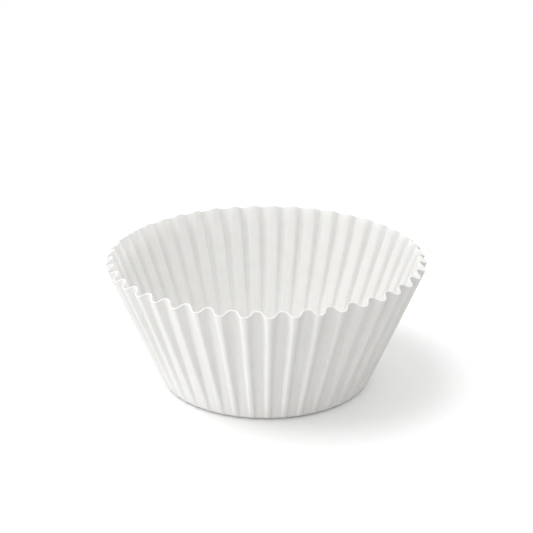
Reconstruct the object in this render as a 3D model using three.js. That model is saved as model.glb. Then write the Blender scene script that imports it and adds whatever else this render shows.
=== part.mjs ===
// A cupcake liner: one disc of white greaseproof paper, pressed into a round cup with a flat floor
// and a fluted wall that leans outwards. Millimetres, +Z up. The origin is the centre of the floor's
// underside, where the liner stands.
import * as THREE from "three";

// The paper
const PAPER_THICKNESS = 0.2;

// The cup, measured on the middle of the paper and, on the wall, halfway between ridge and valley
const FLOOR_RADIUS = 23.7;
const FOOT_BEND_RADIUS = 1.6;
const RIM_RADIUS = 36.6;
const RIM_HEIGHT = 30.5;

// The flutes, from the outside of a ridge to the outside of a valley
const FLUTE_COUNT = 44;
const FLUTE_DEPTH_AT_FOOT = 0.2;
const FLUTE_DEPTH_AT_RIM = 1.85;
// Power of the climb that the depth grows with: under 1, because a flat disc has most to spare near the foot
const FLUTE_GROWTH = 0.75;
// Share of a third harmonic in the wave: it flattens ridges and valleys and makes the flanks steeper
const FLUTE_SQUARENESS = 0.11;
// A ridge takes more paper round the foot than a valley does, so it ends this much lower on the wall
const RIDGE_SHORTFALL = 0.3;

// How finely the curves are divided
const STEPS_PER_FLUTE = 8;
const STEPS_ON_BEND = 3;
const STEPS_ON_WALL = 3;

const PAPER_COLOUR = 0xf4f3ef;

// The wall's middle line is the tangent from the rim to the foot's bend. Its lean is measured from upright.
const bendCentreHeight = PAPER_THICKNESS / 2 + FOOT_BEND_RADIUS;
const rimAcross = RIM_RADIUS - FLOOR_RADIUS;
const rimAbove = RIM_HEIGHT - bendCentreHeight;
const rimFromBendCentre = Math.hypot(rimAcross, rimAbove);
const wallLength = Math.sqrt(rimFromBendCentre ** 2 - FOOT_BEND_RADIUS ** 2);
const wallLean = Math.atan2(rimAcross, rimAbove) - Math.asin(FOOT_BEND_RADIUS / rimFromBendCentre);
const bendSweep = Math.PI / 2 - wallLean;
const bendLength = FOOT_BEND_RADIUS * bendSweep;

// How far up the straight wall a travel from the floor's flat edge ends
function climbAt(travel) {
  return Math.max(travel - bendLength, 0);
}

// Where the paper's middle line is after a travel from the floor's flat edge: across the floor if the
// travel is negative, round the bend, then up the wall. outR and outZ point out of the cup, square to
// the line, and swing is how far a ridge stands out of it.
function middleLine(travel) {
  if (travel <= 0) {
    return { r: FLOOR_RADIUS + travel, z: PAPER_THICKNESS / 2, outR: 0, outZ: -1, swing: 0 };
  }
  const climbed = climbAt(travel);
  const turned = Math.min(travel / FOOT_BEND_RADIUS, bendSweep);
  const outR = Math.sin(turned);
  const outZ = -Math.cos(turned);
  const bendR = FLOOR_RADIUS + FOOT_BEND_RADIUS * outR;
  const bendZ = bendCentreHeight + FOOT_BEND_RADIUS * outZ;
  const r = bendR + climbed * Math.sin(wallLean);
  const z = bendZ + climbed * Math.cos(wallLean);
  // The flutes rise out of the floor's edge as slowly as the bend does, so no ridge dips below it
  const risen = (1 - Math.cos(turned)) / (1 - Math.cos(bendSweep));
  const depthGain = (FLUTE_DEPTH_AT_RIM - FLUTE_DEPTH_AT_FOOT) * (climbed / wallLength) ** FLUTE_GROWTH;
  const swing = ((FLUTE_DEPTH_AT_FOOT + depthGain) * risen) / 2;
  return { r, z, outR, outZ, swing };
}

// 1 on a ridge and -1 in a valley
function fluteWave(angle) {
  const phase = FLUTE_COUNT * angle;
  return (Math.cos(phase) - FLUTE_SQUARENESS * Math.cos(3 * phase)) / (1 - FLUTE_SQUARENESS);
}

function middlePoint(travel, angle) {
  const wave = fluteWave(angle);
  const slip = ((RIDGE_SHORTFALL / 2) * wave * climbAt(travel)) / wallLength;
  const line = middleLine(travel - slip);
  const out = line.swing * wave;
  const r = line.r + out * line.outR;
  return new THREE.Vector3(r * Math.cos(angle), r * Math.sin(angle), line.z + out * line.outZ);
}

// The direction out of the cup, square to the fluted paper
function outwardAt(travel, angle) {
  const stepAlong = 1e-3;
  const stepRound = stepAlong / RIM_RADIUS;
  const along = middlePoint(travel + stepAlong, angle).sub(middlePoint(travel - stepAlong, angle));
  const round = middlePoint(travel, angle + stepRound).sub(middlePoint(travel, angle - stepRound));
  return round.cross(along).normalize();
}

// Travels at which the paper gets a ring of points, from the floor's flat edge to the rim
function ringTravels() {
  const travels = [];
  for (let i = 0; i < STEPS_ON_BEND; i++) travels.push((bendLength * i) / STEPS_ON_BEND);
  for (let i = 0; i <= STEPS_ON_WALL; i++) travels.push(bendLength + (wallLength * i) / STEPS_ON_WALL);
  return travels;
}

// The whole sheet as one closed body: its outer face, its inner face and the cut edge at the rim
function linerGeometry() {
  const around = FLUTE_COUNT * STEPS_PER_FLUTE;
  const travels = ringTravels();
  const positions = [];
  const triangles = [];

  function addFace(side) {
    const floorCentre = positions.length / 3;
    positions.push(0, 0, PAPER_THICKNESS / 2 - (side * PAPER_THICKNESS) / 2);
    for (const travel of travels) {
      for (let i = 0; i < around; i++) {
        const angle = (2 * Math.PI * i) / around;
        const shift = outwardAt(travel, angle).multiplyScalar((side * PAPER_THICKNESS) / 2);
        positions.push(...middlePoint(travel, angle).add(shift).toArray());
      }
    }
    return floorCentre;
  }

  // side is 1 where the face looks out of the cup, and -1 where it looks in
  function addTriangle(a, b, c, side) {
    if (side > 0) triangles.push(a, b, c);
    else triangles.push(a, c, b);
  }

  function joinFace(floorCentre, side) {
    const firstRing = floorCentre + 1;
    for (let i = 0; i < around; i++) {
      const next = (i + 1) % around;
      addTriangle(floorCentre, firstRing + next, firstRing + i, side);
      for (let ring = 0; ring < travels.length - 1; ring++) {
        const low = firstRing + ring * around;
        const high = low + around;
        addTriangle(low + i, low + next, high + next, side);
        addTriangle(low + i, high + next, high + i, side);
      }
    }
    return firstRing + (travels.length - 1) * around;
  }

  const outerRim = joinFace(addFace(1), 1);
  const innerRim = joinFace(addFace(-1), -1);
  for (let i = 0; i < around; i++) {
    const next = (i + 1) % around;
    addTriangle(outerRim + i, outerRim + next, innerRim + next, 1);
    addTriangle(outerRim + i, innerRim + next, innerRim + i, 1);
  }

  const geometry = new THREE.BufferGeometry();
  geometry.setAttribute("position", new THREE.Float32BufferAttribute(positions, 3));
  geometry.setIndex(triangles);
  geometry.computeVertexNormals();
  return geometry;
}

function paperMaterial() {
  return new THREE.MeshStandardMaterial({ color: PAPER_COLOUR, roughness: 0.75, metalness: 0 });
}

const liner = new THREE.Mesh(linerGeometry(), paperMaterial());
liner.name = "paper_liner";

const group = new THREE.Group();
group.name = "cupcake_liner";
group.add(liner);

export default group;
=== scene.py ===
# A white cupcake liner: one disc of greaseproof paper pressed into a fluted cup
import math

import bpy
from mathutils import Matrix, Vector


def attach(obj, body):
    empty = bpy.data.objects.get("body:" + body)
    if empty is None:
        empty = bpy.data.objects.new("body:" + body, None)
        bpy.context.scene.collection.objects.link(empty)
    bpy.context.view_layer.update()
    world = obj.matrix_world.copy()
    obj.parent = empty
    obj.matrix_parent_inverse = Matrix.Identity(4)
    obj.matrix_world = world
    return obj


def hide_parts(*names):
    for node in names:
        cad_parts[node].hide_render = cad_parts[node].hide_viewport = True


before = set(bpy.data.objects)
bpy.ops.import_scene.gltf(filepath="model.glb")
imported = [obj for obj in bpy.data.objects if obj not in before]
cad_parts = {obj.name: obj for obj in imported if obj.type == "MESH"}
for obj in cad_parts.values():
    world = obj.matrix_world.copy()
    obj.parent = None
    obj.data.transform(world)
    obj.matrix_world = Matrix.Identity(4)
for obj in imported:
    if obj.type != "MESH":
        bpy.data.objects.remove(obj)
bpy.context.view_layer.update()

MM = 0.001

# The liner, measured on the middle of its paper
PAPER_THICKNESS = 0.2 * MM
FLOOR_RADIUS = 23.7 * MM
FOOT_BEND_RADIUS = 1.6 * MM
RIM_RADIUS = 36.6 * MM
RIM_HEIGHT = 30.5 * MM
FLUTE_COUNT = 44
FLUTE_DEPTH_AT_FOOT = 0.2 * MM
FLUTE_DEPTH_AT_RIM = 1.85 * MM
FLUTE_GROWTH = 0.75
FLUTE_SQUARENESS = 0.11
RIDGE_SHORTFALL = 0.3 * MM

# Below the rim the ridges are pressed narrower than the valleys: how much narrower, and the power of the
# climb with which that eases off towards the rim
FOLD_NARROWNESS = 4.2
FOLD_RELEASE = 6

# The unevenness of pressed paper: how far a flute strays sideways, in radians of its own wave, how much
# shallower than the deepest the shallowest one is, and how far the rim rises and falls
FLUTE_STRAY = 0.18
FLUTE_LOSS = 0.12
RIM_WANDER = 0.12 * MM

# How many times each of these swings to and fro round the cup, in three waves, and where the waves start
STRAY_SWINGS = (5, 11, 17)
LOSS_SWINGS = (7, 13, 19)
WANDER_SWINGS = (3, 8, 21)
SWING_STARTS = (0, 1.3, 2.1)

# How finely the sheet is divided, and the sharpest edge that is still shaded smooth
STEPS_PER_FLUTE = 32
STEPS_ON_BEND = 5
STEPS_ON_WALL = 14
STEPS_ON_FLOOR = 6
SMOOTH_UP_TO = math.radians(40)

# A point counts as part of the flat floor up to this many times the floor's radius
FLOOR_TOLERANCE = 1.0005

# The paper's colours, linear, and its finish. The glow is light that passes a little way through the paper.
PAPER_WHITE = (0.85, 0.845, 0.83, 1)
PAPER_FIBRE = (0.80, 0.79, 0.765, 1)
PAPER_ROUGHNESS = 0.62
PAPER_SPECULAR = 0.35
PAPER_GLOW = 0.2
PAPER_GLOW_REACH = (0.80 * MM, 0.62 * MM, 0.45 * MM)

# The faint clouds in the paper: how fine they are per metre, the part of the noise that shows, and how much
CLOUD_SCALE = 260
CLOUD_DETAIL = 4
CLOUD_START = 0.4
CLOUD_END = 0.75
CLOUD_STRENGTH = 0.5

# The fibres and the press streaks stand in relief: how fine they are per metre and how strongly they show
RELIEF_HEIGHT = 0.04 * MM
RELIEF_DETAIL = 3
FIBRE_SCALE = 2600
FIBRE_STRENGTH = 0.25
STREAK_SCALE = 1500
STREAK_STRENGTH = 0.5

# How quickly the streaks change up the wall, as a share of how quickly they change round it, and how far in
# on the floor they fade out
STREAK_SHORTNESS = 0.06
STREAK_FADE = 3 * MM

# The photograph's frame, in pixels, and its camera, in metres and radians
FRAME_WIDTH = 533
CAMERA_AWAY = 0.260
CAMERA_HEIGHT = 0.1252
CAMERA_PITCH_DOWN = 0.360
CAMERA_FOCAL_PIXELS = 1181
CAMERA_ACROSS = 0.0001
CAMERA_TURN = math.radians(-1.25)
CAMERA_CLIP_START = 0.01
SENSOR_WIDTH_MM = 36

# The floor in metres: its side, and how far it lies under the liner, so that their faces don't mix
STAGE_SIZE = 1
STAGE_DROP = 0.05 * MM

# What the camera sees of the floor and of the room behind it, and what the light meets instead
STAGE_SEEN = (1.04, 1.04, 1.04, 1)
STAGE_LIT = (0.55, 0.55, 0.55, 1)
ROOM_SEEN = (1, 1, 1, 1)
ROOM_LIT = (0.80, 0.80, 0.80, 1)

# The lamps: the direction that the light comes from, how far off and how large each lamp is in metres,
# and the brightness that it gives a white surface facing it. The strips are all of one size, and the left
# and the front one lie so low that they light the wall's outside and hardly reach over the rim.
WINDOW_DIRECTION = (-0.40, -0.02, 0.91)
WINDOW_AWAY = 1.5
WINDOW_SIZE = 1.0
WINDOW_LEVEL = 0.46
STRIP_AWAY = 1.2
STRIP_WIDTH = 0.5
STRIP_HEIGHT = 0.05
LEFT_STRIP_DIRECTION = (-0.94, -0.30, 0.02)
LEFT_STRIP_LEVEL = 0.31
FRONT_STRIP_DIRECTION = (-0.50, -0.86, 0.02)
FRONT_STRIP_LEVEL = 0.12
FAR_STRIP_DIRECTION = (0.87, 0.48, 0.10)
FAR_STRIP_LEVEL = 0.16


def deselect_everything():
    if bpy.context.object and bpy.context.object.mode == "EDIT":
        bpy.ops.object.mode_set(mode="OBJECT")
    bpy.ops.object.select_all(action="DESELECT")


def wall_shape():
    """The cup's middle line from the floor's flat edge: the bend's sweep and the wall's length and lean"""
    across = RIM_RADIUS - FLOOR_RADIUS
    above = RIM_HEIGHT - PAPER_THICKNESS / 2 - FOOT_BEND_RADIUS
    reach = math.hypot(across, above)
    lean = math.atan2(across, above) - math.asin(FOOT_BEND_RADIUS / reach)
    length = math.sqrt(reach ** 2 - FOOT_BEND_RADIUS ** 2)
    return math.pi / 2 - lean, length, lean


BEND_SWEEP, WALL_LENGTH, WALL_LEAN = wall_shape()
BEND_LENGTH = FOOT_BEND_RADIUS * BEND_SWEEP


def turned_and_climbed(travel):
    """How far the sheet has turned round the bend, and how far it has climbed the straight wall"""
    return min(travel / FOOT_BEND_RADIUS, BEND_SWEEP), max(travel - BEND_LENGTH, 0)


def middle_line(travel):
    """Radius and height of the sheet's middle after a travel from the floor's flat edge"""
    turned, climbed = turned_and_climbed(travel)
    radius = FLOOR_RADIUS + FOOT_BEND_RADIUS * math.sin(turned) + climbed * math.sin(WALL_LEAN)
    bend_rise = FOOT_BEND_RADIUS * (1 - math.cos(turned))
    height = PAPER_THICKNESS / 2 + bend_rise + climbed * math.cos(WALL_LEAN)
    return radius, height


def flute_swing(travel):
    """How far a ridge stands out of the middle line"""
    turned, climbed = turned_and_climbed(travel)
    risen = (1 - math.cos(turned)) / (1 - math.cos(BEND_SWEEP))
    grown = (climbed / WALL_LENGTH) ** FLUTE_GROWTH
    depth = FLUTE_DEPTH_AT_FOOT + (FLUTE_DEPTH_AT_RIM - FLUTE_DEPTH_AT_FOOT) * grown
    return depth * risen / 2


def unevenness(angle, swings):
    """Runs between -1 and 1 round the cup, in whole numbers of swings so that it closes on itself"""
    waves = [math.sin(count * angle + start) for count, start in zip(swings, SWING_STARTS)]
    return sum(waves) / len(waves)


def flute_wave(angle, climb):
    """1 on a ridge and -1 in a valley; climb runs from 0 at the foot to 1 at the rim"""
    phase = FLUTE_COUNT * angle + FLUTE_STRAY * unevenness(angle, STRAY_SWINGS)
    rounded = (math.cos(phase) - FLUTE_SQUARENESS * math.cos(3 * phase)) / (1 - FLUTE_SQUARENESS)
    narrowing = 1 + FOLD_NARROWNESS * (1 - climb ** FOLD_RELEASE)
    return 2 * max((1 + rounded) / 2, 0) ** narrowing - 1


def ring_travels():
    bend = [BEND_LENGTH * i / STEPS_ON_BEND for i in range(STEPS_ON_BEND)]
    wall = [BEND_LENGTH + WALL_LENGTH * i / STEPS_ON_WALL for i in range(STEPS_ON_WALL + 1)]
    return bend + wall


def extrude_rings(rings):
    """Draws the selected ring out through the radii and heights of all the rings, of which it is the first"""
    for here, there in zip(rings, rings[1:]):
        bpy.ops.mesh.extrude_region_move(
            TRANSFORM_OT_translate={"value": (0, 0, there[1] - here[1])})
        growth = there[0] / here[0]
        bpy.ops.transform.resize(value=(growth, growth, 1))


def on_flat_floor(vertex):
    return math.hypot(vertex.co.x, vertex.co.y) < FLOOR_RADIUS * FLOOR_TOLERANCE


def select_floor_edge(cup):
    """Selects the ring where the flat floor ends, in object mode"""
    mesh = cup.data
    for vertex in mesh.vertices:
        vertex.select = on_flat_floor(vertex)
    for line in mesh.edges:
        line.select = all(mesh.vertices[i].select for i in line.vertices)
    for face in mesh.polygons:
        face.select = False
    bpy.context.tool_settings.mesh_select_mode = (False, True, False)


def make_plain_cup():
    """The sheet before its flutes are pressed: the floor's edge drawn out to the rim and in to the middle"""
    deselect_everything()
    edge_radius, floor_height = middle_line(0)
    bpy.ops.mesh.primitive_circle_add(
        vertices=FLUTE_COUNT * STEPS_PER_FLUTE, radius=edge_radius, fill_type="NOTHING",
        location=(0, 0, floor_height))
    cup = bpy.context.object
    cup.name = "liner_sheet"
    bpy.ops.object.mode_set(mode="EDIT")
    bpy.ops.mesh.select_all(action="SELECT")
    extrude_rings([middle_line(travel) for travel in ring_travels()])
    bpy.ops.object.mode_set(mode="OBJECT")
    select_floor_edge(cup)
    bpy.ops.object.mode_set(mode="EDIT")
    shares = [(STEPS_ON_FLOOR - i) / STEPS_ON_FLOOR for i in range(STEPS_ON_FLOOR)]
    extrude_rings([(FLOOR_RADIUS * share, floor_height) for share in shares])
    bpy.ops.mesh.extrude_region_move(TRANSFORM_OT_translate={"value": (0, 0, 0)})
    bpy.ops.mesh.merge(type="CENTER")
    bpy.ops.mesh.select_all(action="SELECT")
    bpy.ops.mesh.normals_make_consistent(inside=False)
    bpy.ops.object.mode_set(mode="OBJECT")
    bpy.ops.object.transform_apply(location=True, rotation=True, scale=True)
    return cup


def press_flutes(cup):
    """Moves the wall out on the ridges and in on the valleys, square to the plain cup"""
    rings = [(middle_line(travel)[1], travel) for travel in ring_travels()]
    normals = [vertex.normal.copy() for vertex in cup.data.vertices]
    for vertex, normal in zip(cup.data.vertices, normals):
        if on_flat_floor(vertex):
            continue
        travel = min(rings, key=lambda ring: abs(ring[0] - vertex.co.z))[1]
        climb = turned_and_climbed(travel)[1] / WALL_LENGTH
        angle = math.atan2(vertex.co.y, vertex.co.x)
        wave = flute_wave(angle, climb)
        shortfall = RIDGE_SHORTFALL / 2 * wave + RIM_WANDER * unevenness(angle, WANDER_SWINGS)
        travel -= shortfall * climb
        radius, height = middle_line(travel)
        outward = normal if normal.xy.dot(vertex.co.xy) > 0 else -normal
        place = Vector((radius * math.cos(angle), radius * math.sin(angle), height))
        depth_kept = 1 - FLUTE_LOSS * (1 + unevenness(angle, LOSS_SWINGS)) / 2
        vertex.co = place + outward * flute_swing(travel) * wave * depth_kept


def give_paper_thickness(cup):
    solidify = cup.modifiers.new("paper thickness", "SOLIDIFY")
    solidify.thickness = PAPER_THICKNESS
    solidify.offset = 0
    solidify.use_even_offset = True
    deselect_everything()
    cup.select_set(True)
    bpy.context.view_layer.objects.active = cup
    bpy.ops.object.modifier_apply(modifier=solidify.name)
    bpy.ops.object.shade_smooth_by_angle(angle=SMOOTH_UP_TO)


def add_noise(nodes, links, place, scale, detail):
    """Cloudy noise between 0 and 1, over the places that are linked in"""
    noise = nodes.new("ShaderNodeTexNoise")
    noise.inputs["Scale"].default_value = scale
    noise.inputs["Detail"].default_value = detail
    links.new(place, noise.inputs["Vector"])
    return noise.outputs["Fac"]


def add_vector_math(nodes, links, operation, first):
    """A vector node with its first input linked in"""
    node = nodes.new("ShaderNodeVectorMath")
    node.operation = operation
    links.new(first, node.inputs[0])
    return node


def add_relief(nodes, links, height, strength):
    """A bump of the paper's own small height"""
    bump = nodes.new("ShaderNodeBump")
    bump.inputs["Strength"].default_value = strength
    bump.inputs["Distance"].default_value = RELIEF_HEIGHT
    links.new(height, bump.inputs["Height"])
    return bump


def paper_colour(nodes, links, place):
    """Nearly white, with faint darker clouds of fibre"""
    cloud = add_noise(nodes, links, place, CLOUD_SCALE, CLOUD_DETAIL)
    fade = nodes.new("ShaderNodeMapRange")
    fade.inputs["From Min"].default_value = CLOUD_START
    fade.inputs["From Max"].default_value = CLOUD_END
    fade.inputs["To Max"].default_value = CLOUD_STRENGTH
    links.new(cloud, fade.inputs["Value"])
    tint = nodes.new("ShaderNodeMix")
    tint.data_type = "RGBA"
    tint.inputs["A"].default_value = PAPER_WHITE
    tint.inputs["B"].default_value = PAPER_FIBRE
    links.new(fade.outputs["Result"], tint.inputs["Factor"])
    return tint.outputs["Result"]


def press_streaks(nodes, links, place):
    """The height of fine creases that run up the wall, and that end where the flat floor starts"""
    across = add_vector_math(nodes, links, "MULTIPLY", place)
    across.inputs[1].default_value = (1, 1, 0)
    heading = add_vector_math(nodes, links, "NORMALIZE", across.outputs["Vector"])
    round_cup = add_vector_math(nodes, links, "SCALE", heading.outputs["Vector"])
    round_cup.inputs["Scale"].default_value = RIM_RADIUS
    up_wall = add_vector_math(nodes, links, "MULTIPLY", place)
    up_wall.inputs[1].default_value = (0, 0, STREAK_SHORTNESS)
    stretched = add_vector_math(nodes, links, "ADD", round_cup.outputs["Vector"])
    links.new(up_wall.outputs["Vector"], stretched.inputs[1])
    streaks = add_noise(nodes, links, stretched.outputs["Vector"], STREAK_SCALE, RELIEF_DETAIL)

    out_from_axis = add_vector_math(nodes, links, "LENGTH", across.outputs["Vector"])
    on_wall = nodes.new("ShaderNodeMapRange")
    on_wall.inputs["From Min"].default_value = FLOOR_RADIUS - STREAK_FADE
    on_wall.inputs["From Max"].default_value = FLOOR_RADIUS
    links.new(out_from_axis.outputs["Value"], on_wall.inputs["Value"])
    height = nodes.new("ShaderNodeMath")
    height.operation = "MULTIPLY"
    links.new(streaks, height.inputs[0])
    links.new(on_wall.outputs["Result"], height.inputs[1])
    return height.outputs["Value"]


def paper_material():
    """Uncoated greaseproof paper: matte, faintly cloudy, with fine fibres and press streaks"""
    material = bpy.data.materials.new("greaseproof_paper")
    material.use_nodes = True
    nodes = material.node_tree.nodes
    links = material.node_tree.links
    shader = nodes["Principled BSDF"]
    shader.inputs["Roughness"].default_value = PAPER_ROUGHNESS
    shader.inputs["Specular IOR Level"].default_value = PAPER_SPECULAR
    shader.inputs["Subsurface Weight"].default_value = PAPER_GLOW
    shader.inputs["Subsurface Radius"].default_value = PAPER_GLOW_REACH
    shader.inputs["Subsurface Scale"].default_value = 1

    place = nodes.new("ShaderNodeTexCoord").outputs["Object"]
    links.new(paper_colour(nodes, links, place), shader.inputs["Base Color"])
    fibres = add_noise(nodes, links, place, FIBRE_SCALE, RELIEF_DETAIL)
    fibre_relief = add_relief(nodes, links, fibres, FIBRE_STRENGTH)
    streak_relief = add_relief(nodes, links, press_streaks(nodes, links, place), STREAK_STRENGTH)
    links.new(fibre_relief.outputs["Normal"], streak_relief.inputs["Normal"])
    links.new(streak_relief.outputs["Normal"], shader.inputs["Normal"])
    return material


def make_liner():
    cup = make_plain_cup()
    press_flutes(cup)
    give_paper_thickness(cup)
    cup.data.materials.clear()
    cup.data.materials.append(paper_material())
    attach(cup, "root")
    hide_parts("paper_liner")


def seen_or_lit(nodes, links, seen, lit):
    """A colour that is one thing to the camera and another to the light"""
    path = nodes.new("ShaderNodeLightPath")
    choice = nodes.new("ShaderNodeMix")
    choice.data_type = "RGBA"
    choice.clamp_result = False
    choice.inputs["A"].default_value = lit
    choice.inputs["B"].default_value = seen
    links.new(path.outputs["Is Camera Ray"], choice.inputs["Factor"])
    return choice.outputs["Result"]


def stage_material():
    """Pure white to the camera outside the shadow, and plain pale card to every other ray"""
    material = bpy.data.materials.new("white_sweep")
    material.use_nodes = True
    nodes = material.node_tree.nodes
    links = material.node_tree.links
    nodes.remove(nodes["Principled BSDF"])
    shader = nodes.new("ShaderNodeBsdfDiffuse")
    links.new(shader.outputs["BSDF"], nodes["Material Output"].inputs["Surface"])
    links.new(seen_or_lit(nodes, links, STAGE_SEEN, STAGE_LIT), shader.inputs["Color"])
    return material


def make_floor():
    deselect_everything()
    bpy.ops.mesh.primitive_plane_add(size=STAGE_SIZE, location=(0, 0, -STAGE_DROP))
    floor = bpy.context.object
    floor.name = "white_floor"
    floor.data.materials.append(stage_material())


def make_camera():
    """Stands in front of the liner, as far off and as high as the photograph was taken"""
    camera_data = bpy.data.cameras.new("camera")
    camera = bpy.data.objects.new("camera", camera_data)
    bpy.context.scene.collection.objects.link(camera)
    turn = Matrix.Rotation(CAMERA_TURN, 4, "Z")
    camera.location = turn @ Vector((CAMERA_ACROSS, -CAMERA_AWAY, CAMERA_HEIGHT))
    camera.rotation_euler = (math.pi / 2 - CAMERA_PITCH_DOWN, 0, CAMERA_TURN)
    camera_data.sensor_width = SENSOR_WIDTH_MM
    camera_data.lens = CAMERA_FOCAL_PIXELS * SENSOR_WIDTH_MM / FRAME_WIDTH
    camera_data.clip_start = CAMERA_CLIP_START
    bpy.context.scene.camera = camera


def make_lamp(name, direction, away, width, height, level):
    """A soft lamp; level is how bright a white surface facing it becomes"""
    lamp_data = bpy.data.lights.new(name, "AREA")
    lamp_data.shape = "RECTANGLE"
    lamp_data.size = width
    lamp_data.size_y = height
    lamp_data.energy = level * math.pi ** 2 * away ** 2
    lamp = bpy.data.objects.new(name, lamp_data)
    bpy.context.scene.collection.objects.link(lamp)
    toward = Vector(direction).normalized()
    lamp.location = toward * away
    lamp.rotation_euler = (-toward).to_track_quat("-Z", "Y").to_euler()


def light_the_scene():
    make_lamp("window", WINDOW_DIRECTION, WINDOW_AWAY, WINDOW_SIZE, WINDOW_SIZE, WINDOW_LEVEL)
    for name, direction, level in (
        ("left_strip", LEFT_STRIP_DIRECTION, LEFT_STRIP_LEVEL),
        ("front_strip", FRONT_STRIP_DIRECTION, FRONT_STRIP_LEVEL),
        ("far_strip", FAR_STRIP_DIRECTION, FAR_STRIP_LEVEL),
    ):
        make_lamp(name, direction, STRIP_AWAY, STRIP_WIDTH, STRIP_HEIGHT, level)
    world = bpy.data.worlds.new("pale_room")
    world.use_nodes = True
    nodes = world.node_tree.nodes
    links = world.node_tree.links
    links.new(seen_or_lit(nodes, links, ROOM_SEEN, ROOM_LIT), nodes["Background"].inputs["Color"])
    bpy.context.scene.world = world
    bpy.context.scene.view_settings.view_transform = "Standard"


make_camera()
make_liner()
make_floor()
light_the_scene()
